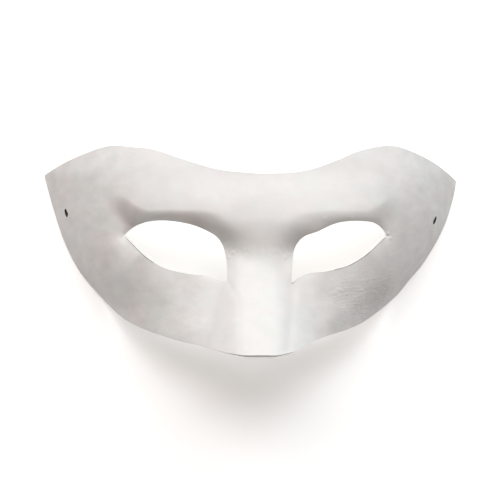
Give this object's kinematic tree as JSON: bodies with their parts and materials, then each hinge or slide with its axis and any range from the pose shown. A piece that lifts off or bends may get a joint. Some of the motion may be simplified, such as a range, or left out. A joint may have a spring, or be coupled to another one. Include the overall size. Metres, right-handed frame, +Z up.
{
  "type": "domino mask",
  "caption": "Blank white half mask moulded in one from paper pulp, with a raised nose, two eye openings and a tie hole in each wing.",
  "frame": {"origin": "centre of the mask's bounding box, on the surface that it lies on", "axes": "+X across the face from wing to wing, +Y towards the forehead, +Z up, out of the face; the face itself leans 15 degrees to the chin side, because the mask lies on the edges of its wings"},
  "size_m": [0.187, 0.0984, 0.0554],
  "materials": {
    "white_pulp": "matte white coat over moulded paper pulp"
  },
  "bodies": {
    "root": {"mask": "white_pulp"}
  },
  "joints": []
}
